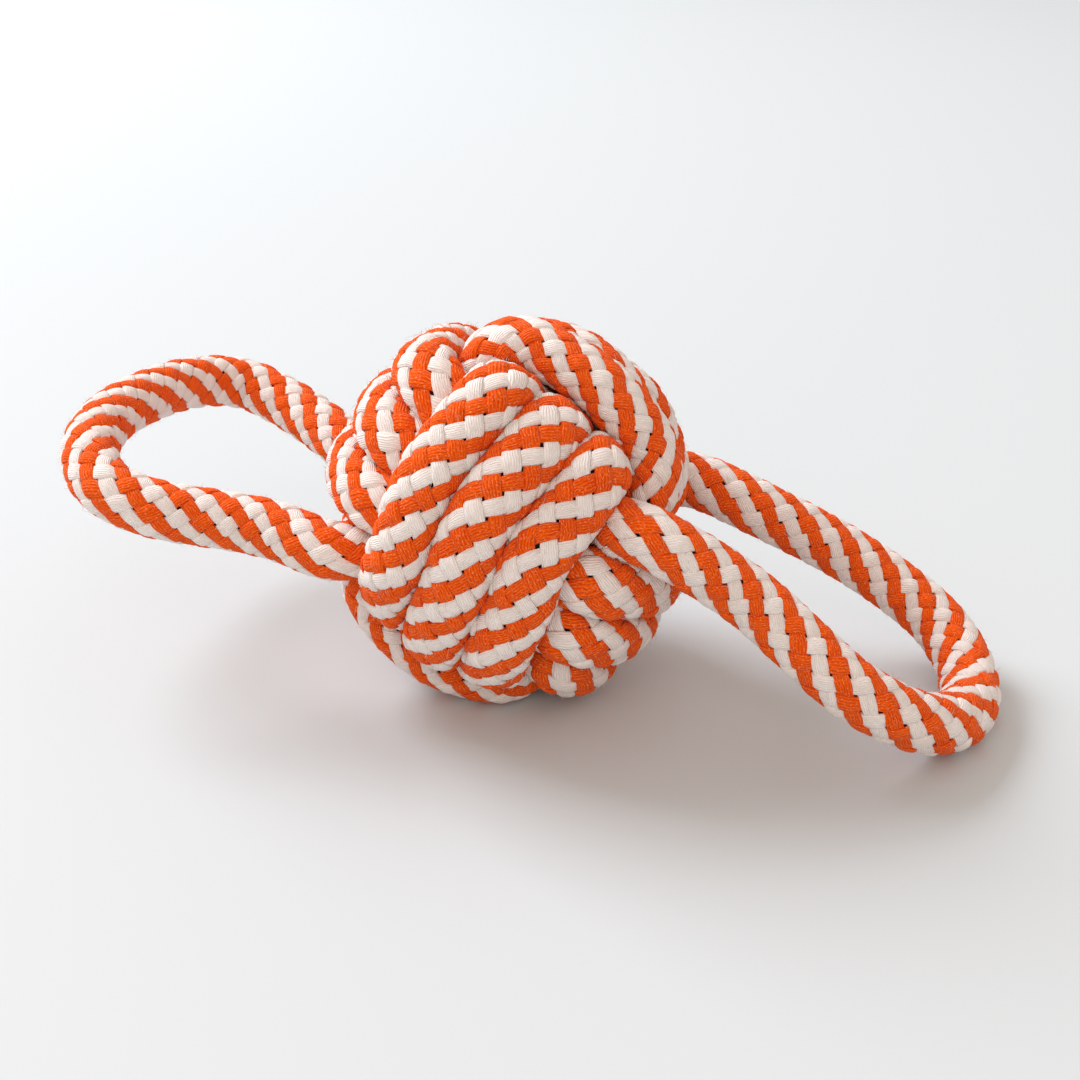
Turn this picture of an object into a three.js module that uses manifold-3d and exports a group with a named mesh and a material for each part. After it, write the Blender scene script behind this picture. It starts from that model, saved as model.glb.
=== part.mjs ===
// Rope dog toy: a monkey's fist ball tied from one length of braided cotton rope, with a loop
// handle on each side made of a second length that runs twice through the heart of the ball.
// Millimetres, +Z up, X along the toy. The origin is on the table, under the middle of the ball.
import * as THREE from 'three';
import { mergeVertices } from 'three/addons/utils/BufferGeometryUtils.js';
import Module from 'manifold-3d';

const wasm = await Module();
wasm.setup();

// Driving dimensions: the rope, the ball and the room that its pressed turns take
const ropeDiameter = 12;
const ballRadius = 37.2;
const ballStretch = 1.08;
const turnSpacing = 12.4;
const tuckedSpacing = 10;
const layerSpacing = 9.6;
const pressedShare = 0.87;
const runSpacing = 10.4;
const heartHalfGap = 5.2;
const rollAngle = 207.4;
const leanAngle = 9;
const pivotRadius = 38;
const leftExitLift = 0.15;
const rightExitLift = -0.22;
const footFlatDepth = 1.2;
const seatGap = 0.3;
const selfGap = 0.45;
const sheathWall = 2.4;
const whippingGap = 0.6;
const whippingThickness = 0.9;
const whippingLength = 9;
const weldDistance = 1e-4;

// Counts
const passes = 6;
const windingPoints = 420;
const windingSteps = 252;
const easingRounds = 260;
const windingSides = 8;
const ropeSides = 10;
const loopSteps = 28;
const runSteps = 16;
const whippingSides = 16;
const gapSides = 16;

// How the knot is tied: how sharply a turn dips under its neighbours and where, how far into a
// pass it moves over by one rope width, how long it takes to cross to the next band, and how long
// its tucked ends are
const dipSharpness = 3.2;
const dipMiddle = 0.47;
const moveOverAt = [1.25, 3.25];
const moveOverPasses = 0.5;
const crossing = 0.3;
const tuckedPasses = 0.5;
const pointsPerPass = 80;

// How the knot is pulled tight: by the first share, then less each round down to the last one, which
// keeps the turns free of kinks. The same holds for the levelling, which draws the outer turns out to
// the ball's surface, so that the middle turn of a band doesn't sink between the other two. Both would
// fade out after the pulling share of the rounds. Points closer along the rope than the own reach
// don't push each other.
const firstPull = 0.3;
const lastPull = 0.13;
const firstLevelling = 0.25;
const lastLevelling = 0.03;
const pullingShare = 0.65;
const roundsPerRespacing = 20;
const ownReach = 1.5 * turnSpacing;

// Middle lines of the two loops between their exits, in toy coordinates
const leftRoute = [
  [-38, -21, 36], [-48, -20.5, 37.1], [-58.5, -22.5, 38.4], [-67, -24.5, 40.1], [-75, -24, 42.2],
  [-81, -20, 43.6], [-86, -13, 44.8], [-89, -4, 45.6], [-90, 6, 45.9], [-89, 17, 45.4],
  [-86.5, 28, 44.4], [-82, 36, 43.1], [-75.5, 40, 41.5], [-68, 39.3, 39.4], [-59, 36, 37],
  [-49, 30.5, 34.4], [-38.5, 24.5, 31.2],
];
const rightRoute = [
  [37, -20.5, 42.3], [44, -19, 38], [51.5, -18.5, 33], [60.5, -20, 26.3], [70, -20.5, 19],
  [78.5, -17.5, 13], [85.5, -12, 8.5], [90, -4.5, 5.8], [92.3, 3, 4.8], [92.3, 10.5, 4.9],
  [90.3, 18, 6.8], [85, 24.5, 10.6], [76, 27.5, 16], [65, 27.5, 22.4], [55, 25.5, 28],
  [45.5, 23.5, 32.8], [37, 23, 36.5],
];

// Knot axes: the front face looks along -Y and a little up, and the ball has rolled about that
// axis until the knot's own top points down
const roll = THREE.MathUtils.degToRad(rollAngle);
const lean = THREE.MathUtils.degToRad(leanAngle);
const acrossToy = new THREE.Vector3(1, 0, 0);
const frontAxis = new THREE.Vector3(0, -1, 0).applyAxisAngle(acrossToy, -lean);
const topAxis = new THREE.Vector3(Math.sin(roll), 0, Math.cos(roll)).applyAxisAngle(acrossToy, -lean);
const sideAxis = new THREE.Vector3().crossVectors(frontAxis, topAxis);
const ballCentre = new THREE.Vector3();

// From the round knot to the toy, where the ball stands a little taller than it is wide
function toToy(point) {
  const turned = new THREE.Vector3()
    .addScaledVector(frontAxis, point.x)
    .addScaledVector(topAxis, point.y)
    .addScaledVector(sideAxis, point.z);
  turned.z *= ballStretch;
  return turned.add(ballCentre);
}

function smoothStep(value) {
  return THREE.MathUtils.smoothstep(value, 0, 1);
}

// One band of the fist: three turns round two axes, outside along the long one and tucked in
// along the short one. Pass 0 to 5 counts half turns, and the turn moves over by one rope width
// while it is tucked in after every second pass.
const axes = [new THREE.Vector3(1, 0, 0), new THREE.Vector3(0, 1, 0), new THREE.Vector3(0, 0, 1)];
const outerRadius = ballRadius - (layerSpacing * pressedShare) / 2;
const innerRadius = outerRadius - layerSpacing;
const betweenLayers = (outerRadius + innerRadius) / 2;
const fullRise = 2 * Math.tanh(dipSharpness / 2);

function bandPoint(band, pass) {
  const angle = (band.firstFace > 0 ? 0 : Math.PI) + band.sense * Math.PI * pass;
  const moved = moveOverAt.reduce((sum, at) => sum + smoothStep((pass - at) / moveOverPasses), 0);
  const lane = band.firstLane * (1 - moved);
  const rise = Math.tanh(dipSharpness * (Math.cos(angle) ** 2 - dipMiddle));
  const keepsOut = pass < band.outsideBefore || pass > band.outsideAfter;
  const share = keepsOut ? 1 : THREE.MathUtils.clamp(0.5 + rise / fullRise, 0, 1);
  const reach = THREE.MathUtils.lerp(innerRadius, outerRadius, share);
  const aside = lane * THREE.MathUtils.lerp(tuckedSpacing, turnSpacing, share);
  const flat = Math.sqrt(reach * reach - aside * aside);
  return new THREE.Vector3()
    .addScaledVector(axes[band.long], flat * Math.cos(angle))
    .addScaledVector(axes[(band.long + 1) % 3], flat * Math.sin(angle))
    .addScaledVector(axes[(band.long + 2) % 3], aside);
}

// The rope starts tucked in half a pass before the first band, ties it, crosses over a corner to
// the second band and over another corner to the third, and ends tucked in half a pass after it.
const last = passes - 1;
const bands = [
  { long: 1, firstFace: -1, sense: 1, firstLane: 1, outsideBefore: -1, outsideAfter: last },
  { long: 2, firstFace: 1, sense: 1, firstLane: 1, outsideBefore: 0, outsideAfter: last },
  { long: 0, firstFace: -1, sense: -1, firstLane: -1, outsideBefore: 0, outsideAfter: passes },
];

function tiedPath() {
  const path = [];
  bands.forEach((band, index) => {
    const from = index === 0 ? -tuckedPasses : 0;
    const to = index === bands.length - 1 ? last + tuckedPasses : last;
    const count = Math.round((to - from) * pointsPerPass);
    for (let i = 0; i < count; i += 1) {
      path.push(bandPoint(band, from + ((to - from) * i) / count));
    }
    const next = bands[index + 1];
    for (let i = 0; next && i < pointsPerPass; i += 1) {
      const along = i / pointsPerPass;
      const leaving = bandPoint(band, last + crossing * along);
      const joining = bandPoint(next, crossing * (along - 1));
      path.push(leaving.lerp(joining, smoothStep(along)).setLength(outerRadius));
    }
  });
  return path;
}

// Evenly spaced points along a line of points
function respace(path, count) {
  const reached = [0];
  for (let i = 1; i < path.length; i += 1) {
    reached.push(reached[i - 1] + path[i].distanceTo(path[i - 1]));
  }
  const spaced = [];
  let i = 1;
  for (let k = 0; k < count; k += 1) {
    const wanted = (reached[reached.length - 1] * k) / (count - 1);
    while (i < path.length - 1 && reached[i] < wanted) i += 1;
    const share = (wanted - reached[i - 1]) / (reached[i] - reached[i - 1]);
    spaced.push(path[i - 1].clone().lerp(path[i], share));
  }
  return spaced;
}

function pathLength(path) {
  return path.reduce((sum, point, i) => (i ? sum + point.distanceTo(path[i - 1]) : 0), 0);
}

// Corners of the knot where the handle rope comes out: front and back, right and left
const cornerAxis = (front, right) => {
  const lift = right < 0 ? leftExitLift : rightExitLift;
  const upward = new THREE.Vector3(frontAxis.z, topAxis.z, sideAxis.z);
  return new THREE.Vector3(front, -right, right).addScaledVector(upward, lift).normalize();
};
const heartPoint = (front, along) => (
  new THREE.Vector3(0, -1, 1).setLength(1).multiplyScalar(along).setX(front * heartHalfGap)
);
const corners = [[1, 1], [1, -1], [-1, 1], [-1, -1]];
const handleRuns = corners.map(([front, right]) => ({
  start: heartPoint(front, (right * whippingLength) / 2),
  end: cornerAxis(front, right).multiplyScalar(pivotRadius),
}));
const exitSpacing = (ropeDiameter + turnSpacing) / 2;

function nearestOnRun(run, point) {
  return new THREE.Line3(run.start, run.end).closestPointToPoint(point, true, new THREE.Vector3());
}

// Room that a turn takes along the ball: more outside than where it is tucked in
function spacingAt(radius) {
  const share = THREE.MathUtils.clamp((radius - innerRadius) / layerSpacing, 0, 1);
  return THREE.MathUtils.lerp(tuckedSpacing, turnSpacing, share);
}

// Distance between two turns as a share of the room that they need: 1 is as close as they may
// lie. The turns are pressed flat, so they need more room along the ball than through it.
const apart = new THREE.Vector3();
const outward = new THREE.Vector3();
let room = turnSpacing;
function turnMeasure(a, b) {
  outward.addVectors(a, b);
  room = spacingAt(outward.length() / 2);
  outward.normalize();
  apart.subVectors(a, b);
  stretchOutward(apart);
  return apart.length();
}

function stretchOutward(vector) {
  vector.addScaledVector(outward, vector.dot(outward) * (room / layerSpacing - 1));
  vector.divideScalar(room);
}

// Pulls the rope tight and pushes its turns apart to the turn spacing, round after round, with
// the handle runs in their corners and every turn inside the ball
function ease(path) {
  let points = respace(path, windingPoints);
  let step = 0;
  for (let round = 0; round < easingRounds; round += 1) {
    if (round % roundsPerRespacing === 0) {
      step = pathLength(points) / (windingPoints - 1);
      points = respace(points, windingPoints);
    }
    const fading = Math.max(0, 1 - round / (easingRounds * pullingShare));
    const pull = Math.max(firstPull * fading, lastPull);
    const levelling = Math.max(firstLevelling * fading, lastLevelling);
    const before = points;
    points = before.map((point, i) => {
      if (i === 0 || i === windingPoints - 1) return point.clone();
      const middle = before[i - 1].clone().add(before[i + 1]).multiplyScalar(0.5);
      return point.clone().lerp(middle, pull);
    });
    const moves = points.map(() => new THREE.Vector3());
    const touches = new Array(windingPoints).fill(0);
    const skip = Math.ceil(ownReach / step);
    for (let i = 0; i < windingPoints; i += 1) {
      for (let j = i + skip; j < windingPoints; j += 1) {
        if (Math.abs(points[i].x - points[j].x) > turnSpacing) continue;
        const measure = turnMeasure(points[i], points[j]);
        if (measure >= 1) continue;
        const slope = apart.clone().divideScalar(measure);
        stretchOutward(slope);
        slope.multiplyScalar((0.5 * (1 - measure)) / slope.lengthSq());
        moves[i].add(slope);
        moves[j].sub(slope);
        touches[i] += 1;
        touches[j] += 1;
      }
    }
    points.forEach((point, i) => {
      point.addScaledVector(moves[i], 1 / Math.sqrt(Math.max(touches[i], 1)));
      const radius = point.length();
      if (radius > betweenLayers) {
        point.setLength(THREE.MathUtils.lerp(radius, outerRadius, levelling));
      }
      handleRuns.forEach((run) => {
        const nearest = nearestOnRun(run, point);
        const away = point.clone().sub(nearest);
        if (away.length() < runSpacing) point.copy(nearest).add(away.setLength(runSpacing));
        away.subVectors(point, run.end);
        if (away.length() < exitSpacing) point.copy(run.end).add(away.setLength(exitSpacing));
      });
      point.clampLength(0, outerRadius);
    });
  }
  return points;
}

const windingPath = ease(tiedPath());

// The turns are as thick as their least measure leaves room for, and so are the handle runs.
// The measured points lie a millimetre apart.
const measuredSteps = Math.round(pathLength(windingPath));
const measured = respace(windingPath, measuredSteps + 1);
let leastMeasure = Infinity;
let leastToRun = Infinity;
measured.forEach((point, i) => {
  for (let j = i + Math.ceil(ownReach); j < measured.length; j += 1) {
    leastMeasure = Math.min(leastMeasure, turnMeasure(point, measured[j]));
  }
  handleRuns.forEach((run) => {
    leastToRun = Math.min(leastToRun, nearestOnRun(run, point).distanceTo(point));
  });
});
const turnWidthAt = (radius) => spacingAt(radius) * leastMeasure - selfGap;
const turnThickness = layerSpacing * leastMeasure - selfGap;
const runRadius = leastToRun - turnWidthAt(outerRadius) / 2 - seatGap;

// A closed skin over rings of points, with a middle point closing each end
function skin(rings) {
  const sides = rings[0].length;
  const points = rings.flat();
  const faces = [];
  for (let i = 0; i < rings.length - 1; i += 1) {
    for (let k = 0; k < sides; k += 1) {
      const a = i * sides + k;
      const b = i * sides + ((k + 1) % sides);
      faces.push(a, b, a + sides, b, b + sides, a + sides);
    }
  }
  const middles = [rings[0], rings[rings.length - 1]].map((ring) => {
    const middle = ring.reduce((sum, point) => sum.add(point), new THREE.Vector3());
    return points.push(middle.divideScalar(sides)) - 1;
  });
  const lastRing = (rings.length - 1) * sides;
  for (let k = 0; k < sides; k += 1) {
    const next = (k + 1) % sides;
    faces.push(middles[0], next, k, middles[1], lastRing + k, lastRing + next);
  }
  const geometry = new THREE.BufferGeometry().setFromPoints(points);
  geometry.setIndex(faces);
  return geometry;
}

function ring(centre, across, up, halfWidth, halfThickness, sides) {
  return Array.from({ length: sides }, (_, k) => {
    const angle = (2 * Math.PI * (k + 0.5)) / sides;
    return centre.clone()
      .addScaledVector(across, halfWidth * Math.cos(angle))
      .addScaledVector(up, halfThickness * Math.sin(angle));
  });
}

// Rings of the knot rope, pressed oval, with its flat side facing out of the ball
function windingRings(steps, sides) {
  const knot = new THREE.CatmullRomCurve3(windingPath);
  return Array.from({ length: steps + 1 }, (_, i) => {
    const centre = knot.getPointAt(i / steps);
    const along = knot.getTangentAt(i / steps);
    const up = centre.clone().projectOnPlane(along).normalize();
    const across = new THREE.Vector3().crossVectors(up, along);
    const halfWidth = turnWidthAt(centre.length()) / 2;
    return ring(centre, across, up, halfWidth, turnThickness / 2, sides).map(toToy);
  });
}

// The least gap of the knot rope to itself, measured on points of its rings
function leastOwnGap() {
  const rings = windingRings(measuredSteps, gapSides);
  let least = Infinity;
  rings.forEach((near, i) => {
    for (let j = i + Math.ceil(ownReach); j < rings.length; j += 1) {
      if (measured[i].distanceTo(measured[j]) > ownReach) continue;
      near.forEach((a) => rings[j].forEach((b) => {
        least = Math.min(least, a.distanceToSquared(b));
      }));
    }
  });
  return Math.sqrt(least);
}

// The ball rests on its lowest turns, which are cut flat
const windingHeights = windingRings(windingSteps, windingSides).flat().map((point) => point.z);
ballCentre.z = -Math.min(...windingHeights) - footFlatDepth;

console.log(`least gap of the knot rope to itself ${leastOwnGap().toFixed(2)} mm`);

// A round rope along a line of points. Each end ring is [shift beyond the line, radius], outermost
// first, and an end without any is flat.
function ropeGeometry(points, radius, steps, endRings) {
  const curve = new THREE.CatmullRomCurve3(points);
  const frames = curve.computeFrenetFrames(steps);
  const rings = [];
  const addRing = (i, shift, size) => {
    const centre = curve.getPointAt(i / steps).addScaledVector(frames.tangents[i], shift);
    rings.push(ring(centre, frames.normals[i], frames.binormals[i], size, size, ropeSides));
  };
  endRings.forEach(([shift, size]) => addRing(0, -shift, size));
  for (let i = 0; i <= steps; i += 1) addRing(i, 0, radius);
  endRings.toReversed().forEach(([shift, size]) => addRing(steps, shift, size));
  return skin(rings);
}

const flatEnd = [];
const halfBallAngles = [80, 55, 28].map((angle) => THREE.MathUtils.degToRad(angle));
const halfBall = (radius) => (
  halfBallAngles.map((angle) => [radius * Math.sin(angle), radius * Math.cos(angle)])
);

function solid(geometry) {
  const bare = geometry.clone();
  bare.deleteAttribute('normal');
  bare.deleteAttribute('uv');
  const merged = mergeVertices(bare, weldDistance);
  return new wasm.Manifold(new wasm.Mesh({
    numProp: 3,
    vertProperties: new Float32Array(merged.attributes.position.array),
    triVerts: new Uint32Array(merged.index.array),
  }));
}

function geometryOf(manifold) {
  const mesh = manifold.getMesh();
  const geometry = new THREE.BufferGeometry();
  geometry.setAttribute('position', new THREE.BufferAttribute(mesh.vertProperties, 3));
  geometry.setIndex(new THREE.BufferAttribute(mesh.triVerts, 1));
  return geometry;
}

// Everything below the table is cut away flat
const tableWidth = 20 * ballRadius;
function standing(geometry) {
  const table = new THREE.BoxGeometry(tableWidth, tableWidth, ballRadius);
  table.translate(0, 0, -ballRadius / 2);
  return geometryOf(solid(geometry).subtract(solid(table)));
}

const exitOf = (front, right) => toToy(cornerAxis(front, right).multiplyScalar(pivotRadius));

function loopPoints(route, right) {
  const between = route.map((point) => new THREE.Vector3(...point));
  return [exitOf(1, right), ...between, exitOf(-1, right)];
}

// The braided sheath of a loop, hollow for its filler and open at both rounded ends
const ropeRadius = ropeDiameter / 2;
const boreRadius = ropeRadius - sheathWall;
function sheathGeometry(route, right) {
  const points = loopPoints(route, right);
  const outside = ropeGeometry(points, ropeRadius, loopSteps, halfBall(ropeRadius));
  const bore = ropeGeometry(points, boreRadius, loopSteps, [[ropeDiameter, boreRadius]]);
  return geometryOf(solid(outside).subtract(solid(bore)));
}

// The bundle of filler yarn inside a loop
function fillerGeometry(route, right) {
  return ropeGeometry(loopPoints(route, right), boreRadius - seatGap, loopSteps, flatEnd);
}

// A stretch of handle rope inside the ball: from a heart point out to its flat end just short of
// the loop, straight for half the whipping and then on to its corner
const runReach = pivotRadius - ropeDiameter / 2 - seatGap;
function outOfHeart(front, right) {
  const bend = heartPoint(front, (right * whippingLength) / 2);
  const end = cornerAxis(front, right).multiplyScalar(runReach);
  return [bend, bend.clone().lerp(end, 0.5), end];
}

function wholeRun(front, radius) {
  const points = [...outOfHeart(front, -1).reverse(), heartPoint(front, 0), ...outOfHeart(front, 1)];
  return ropeGeometry(points.map(toToy), radius, runSteps, flatEnd);
}

// Half of the back run, which ends at the join of the handle rope in the heart of the ball
function halfRun(right) {
  const points = [heartPoint(-1, (right * seatGap) / 2), ...outOfHeart(-1, right)];
  return ropeGeometry(points.map(toToy), runRadius, runSteps / 2, flatEnd);
}

// Twine bound round the join: a sleeve about the back run, along the line through the heart
function whippingGeometry() {
  const inside = runRadius + whippingGap;
  const outside = inside + whippingThickness;
  const half = whippingLength / 2;
  const corner = (radius, height) => new THREE.Vector2(radius, height);
  const profile = [
    corner(inside, -half), corner(outside, -half), corner(outside, half), corner(inside, half),
    corner(inside, -half),
  ];
  const geometry = new THREE.LatheGeometry(profile, whippingSides);
  const join = toToy(heartPoint(-1, 0));
  const along = toToy(heartPoint(-1, 1)).sub(join);
  const turn = new THREE.Quaternion().setFromUnitVectors(new THREE.Vector3(0, 1, 0), along);
  return geometry.applyQuaternion(turn).translate(join.x, join.y, join.z);
}

const materials = {
  knotRope: new THREE.MeshStandardMaterial({ color: 0xe9743f, roughness: 0.95, metalness: 0 }),
  handleRope: new THREE.MeshStandardMaterial({ color: 0xe9743f, roughness: 0.95, metalness: 0 }),
  filler: new THREE.MeshStandardMaterial({ color: 0x4a413d, roughness: 1, metalness: 0 }),
  twine: new THREE.MeshStandardMaterial({ color: 0xd9cdb4, roughness: 0.8, metalness: 0 }),
};

const toy = new THREE.Group();
function add(name, geometry, material) {
  const mesh = new THREE.Mesh(geometry, material);
  mesh.name = name;
  toy.add(mesh);
}

add('fist_winding', standing(skin(windingRings(windingSteps, windingSides))), materials.knotRope);
add('left_loop', sheathGeometry(leftRoute, -1), materials.handleRope);
add('left_loop_filler', fillerGeometry(leftRoute, -1), materials.filler);
add('right_loop', standing(sheathGeometry(rightRoute, 1)), materials.handleRope);
add('right_loop_filler', fillerGeometry(rightRoute, 1), materials.filler);
add('front_run', wholeRun(1, runRadius), materials.handleRope);
add('back_run_left', halfRun(-1), materials.handleRope);
add('back_run_right', halfRun(1), materials.handleRope);
add('join_whipping', whippingGeometry(), materials.twine);

export default toy;
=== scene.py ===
"""Rope dog toy: a monkey's fist ball and two loop handles of braided cotton rope, orange and white.

Every rope is a braid of sixteen flat strands, eight to each hand, that pass over and under each other.
The knot is tied by a formula and pulled tight, and lies where the solid of the frame lies.
Lengths are worked out in millimetres and put into the meshes in metres.
"""

import math
from collections import namedtuple

import bpy
import numpy as np
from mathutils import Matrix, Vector


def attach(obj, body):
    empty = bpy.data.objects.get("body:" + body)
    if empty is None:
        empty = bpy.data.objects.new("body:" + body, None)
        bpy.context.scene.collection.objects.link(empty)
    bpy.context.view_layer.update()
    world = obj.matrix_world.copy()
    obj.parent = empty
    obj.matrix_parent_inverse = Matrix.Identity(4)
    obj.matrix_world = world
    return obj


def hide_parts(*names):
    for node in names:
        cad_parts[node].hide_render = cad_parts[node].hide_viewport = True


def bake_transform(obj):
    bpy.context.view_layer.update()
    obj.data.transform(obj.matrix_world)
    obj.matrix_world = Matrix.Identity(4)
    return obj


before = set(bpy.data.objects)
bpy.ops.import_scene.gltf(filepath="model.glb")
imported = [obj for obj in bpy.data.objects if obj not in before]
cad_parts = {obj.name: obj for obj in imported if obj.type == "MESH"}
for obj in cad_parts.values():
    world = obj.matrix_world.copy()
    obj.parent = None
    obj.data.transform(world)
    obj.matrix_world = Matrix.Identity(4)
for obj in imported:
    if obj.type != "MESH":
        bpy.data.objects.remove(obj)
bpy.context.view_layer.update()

bl_info = {
    "name": "Rope dog toy",
    "version": (1, 0, 0),
    "blender": (4, 5, 0),
    "location": "View3D > Sidebar > Rope toy",
    "description": "Braids and ties a rope dog toy round its packed frame",
    "category": "Object",
}

MM = 0.001
TEN_MM = 10 * MM
TURN = 2 * math.pi
TINY = 1e-9

# The knot: its ball, the room that its pressed turns take, and how it lies on the table
BALL_RADIUS = 37.2
BALL_STRETCH = 1.08
BALL_HEIGHT = 36.9
TURN_SPACING = 12.4
TUCKED_SPACING = 10.0
LAYER_SPACING = 9.6
PRESSED_SHARE = 0.87
PRESSED_FULLNESS = 2.35
TABLE_PRESS = 0.5
ROLL = math.radians(207.4)
LEAN = math.radians(9)
OUTER_RADIUS = BALL_RADIUS - LAYER_SPACING * PRESSED_SHARE / 2
INNER_RADIUS = OUTER_RADIUS - LAYER_SPACING
BETWEEN_LAYERS = (OUTER_RADIUS + INNER_RADIUS) / 2

# The handle rope in the ball: its runs through the heart, its exits, and the twine round its join
ROPE_DIAMETER = 12.0
RUN_SPACING = 10.4
RUN_RADIUS = 4.3
HEART_HALF_GAP = 5.2
PIVOT_RADIUS = 38.0
LEFT_EXIT_LIFT = 0.15
RIGHT_EXIT_LIFT = -0.22
EXIT_SPACING = (ROPE_DIAMETER + TURN_SPACING) / 2
WHIPPING_LENGTH = 9.0
WHIPPING_THICKNESS = 0.9
WHIPPING_GAP = 0.6
WHIPPING_TURNS = 9

# How the knot is tied and pulled tight. A pass is half a turn
PASSES = 6
LAST_PASS = PASSES - 1
WINDING_POINTS = 420
EASING_ROUNDS = 260
ROUNDS_PER_RESPACING = 20
ROUNDS_PER_SEARCH = 5
SEARCH_MARGIN = 10.0
POINTS_PER_PASS = 80
DIP_SHARPNESS = 3.2
DIP_MIDDLE = 0.47
MOVE_OVER_AT = (1.25, 3.25)
MOVE_OVER_PASSES = 0.5
CROSSING = 0.3
FIRST_PULL = 0.3
LAST_PULL = 0.13
FIRST_LEVELLING = 0.25
LAST_LEVELLING = 0.03
TUCKED_PASSES = 0.5
PULLING_SHARE = 0.65
OWN_REACH = 1.5 * TURN_SPACING

# The three bands: long axis, first face, sense, first lane, outside before and after these passes
BANDS = (
    (1, -1, 1, 1, -1, LAST_PASS),
    (2, 1, 1, 1, 0, LAST_PASS),
    (0, -1, -1, -1, 0, PASSES),
)

# Middle lines of the two loops between their exits, as given points
LEFT_ROUTE = (
    (-38, -21, 36), (-48, -20.5, 37.1), (-58.5, -22.5, 38.4), (-67, -24.5, 40.1), (-75, -24, 42.2),
    (-81, -20, 43.6), (-86, -13, 44.8), (-89, -4, 45.6), (-90, 6, 45.9), (-89, 17, 45.4),
    (-86.5, 28, 44.4), (-82, 36, 43.1), (-75.5, 40, 41.5), (-68, 39.3, 39.4), (-59, 36, 37),
    (-49, 30.5, 34.4), (-38.5, 24.5, 31.2),
)
RIGHT_ROUTE = (
    (37, -20.5, 42.3), (44, -19, 38), (51.5, -18.5, 33), (60.5, -20, 26.3), (70, -20.5, 19),
    (78.5, -17.5, 13), (85.5, -12, 8.5), (90, -4.5, 5.8), (92.3, 3, 4.8), (92.3, 10.5, 4.9),
    (90.3, 18, 6.8), (85, 24.5, 10.6), (76, 27.5, 16), (65, 27.5, 22.4), (55, 25.5, 28),
    (45.5, 23.5, 32.8), (37, 23, 36.5),
)

# How far a loop is tucked into the ball, and how its ends are softened
TUCKED_LENGTH = 13.0
TUCKED_MARGIN = 1.0
SOFTENING_ROUNDS = 60

# The braid: strands to each hand, and crossings of a strand in one lay
STRANDS_PER_HAND = 8
CROSSINGS_PER_LAY = 2 * STRANDS_PER_HAND
RIGHT_HAND = 1
LEFT_HAND = -1

# A strand: the power of its full corners, how steeply it steps over and under, and how it widens on top
CORNER_POWER = 2 / 3
STEP_STEEPNESS = 2.4
TOP_SWELL = 0.05

# No strand lies evenly: slow sines, each as radians per millimetre and a share of the strand's own phase
UNEVEN_SWAY = 0.09
UNEVEN_WIDTH = 0.035
SWAY_SINES = ((0.31, 1.0), (0.83, -1.7))
WIDTH_SINES = ((0.47, -1.0), (1.13, 2.1))
PHASE_STEP = 2.4

# Stray hairs: how many grow on a millimetre of rope, where, and how each rises, leans, bends and thins out
BALL_HAIRS = 14
LOOP_HAIRS = 9
BALL_HAIR_SEED = 11
LOOP_HAIR_SEED = 23
HAIR_END_MARGIN = 2
HAIR_SEEN_DEPTH = 2
HAIR_ROOT_DEPTH = 0.3
HAIR_LENGTH_SHARES = (0.4, 1.3)
HAIR_LEAN = 0.7
HAIR_BENDS = (0.3, 1.0)
HAIR_RISE = 0.9
HAIR_FALL = 0.35
HAIR_SLANT = 0.7
HAIR_RADIUS = 0.028
HAIR_TAPER = 0.75

# The filler's radius as a share of the rope's skin
FILLER_SHARE = 0.8

# How fine the meshes are. For strands: rings to a crossing and points round, by how near the eye comes
BALL_STRAND_MESH = (4, 8)
LOOP_STRAND_MESH = (5, 10)
RUN_STRAND_MESH = (3, 6)
LINE_STEP = 0.8
SPLINE_STEPS = 24
FILLER_STEP = 1.6
BALL_FILLER_SIDES = 12
LOOP_FILLER_SIDES = 14
HAIR_RINGS = 4
HAIR_SIDES = 3
TWINE_RINGS = 240
TWINE_SIDES = 8

# Patterns on a strand, 2.7 mm wide: how many lie across it, and how many follow each other in 10 mm.
# Streaks are 0.1 by 1.1 mm, loose fibres 0.14 by 0.45 mm. The step sets two strands' patterns apart
THREADS_OF_WHITE = 8
THREADS_OF_ORANGE = 6
THREAD_WAVES = (1.7, 4.5)
STREAKS = (26.0, 9.0)
LOOSE_FIBRES = (20.0, 22.0)
STRAND_PATTERN_STEP = 3.0

# Other patterns: how many lie in 10 mm, and the length of the twine's ply lines
TONE_CLOUDS = 2.6
FILLER_MOTTLES = 7.0
TABLE_GRAINS = 4.0
PLY_LENGTH = 1.047

# The camera of the photograph: its picture and focal length in pixels, and where it stands, in metres
PICTURE_WIDTH = 1080
FOCAL_LENGTH = 1570
PICTURE_SHIFT = (28, -40)
SENSOR_WIDTH = 36
CAMERA_AZIMUTH = math.radians(15.5)
CAMERA_ELEVATION = math.radians(25)
CAMERA_DISTANCE = 0.314
CAMERA_NEAREST = 0.01
AIM = np.array([0, 0, 0.03903])

# The table and the light, in metres and watts: each lamp's name, place, size, power and colour
TABLE_HALF = 8.0
TABLE_DROP = 0.0002
LAMPS = (
    ("window_light", (-1.65, 0.6, 1.5), 1.3, 58.0, "F6F8FF"),
    ("room_fill", (0.2, -2.0, 1.5), 2.0, 13.0, "FFE4D4"),
)
ROOM_COLOUR = "F7E9E1"
ROOM_STRENGTH = 0.82
WALL_COLOUR = "DADADA"
WALL_STRENGTH = 1.0

# A rope: distances along it, its middle line and frame at each point, its lay and its fullness
Rope = namedtuple("Rope", "reached middle across up half_width half_thickness twist lay fullness")


def linear(hex_code):
    """The linear colour of an sRGB hex value."""
    shares = [int(hex_code[i : i + 2], 16) / 255 for i in (0, 2, 4)]
    return [c / 12.92 if c <= 0.04045 else ((c + 0.055) / 1.055) ** 2.4 for c in shares]


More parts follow.
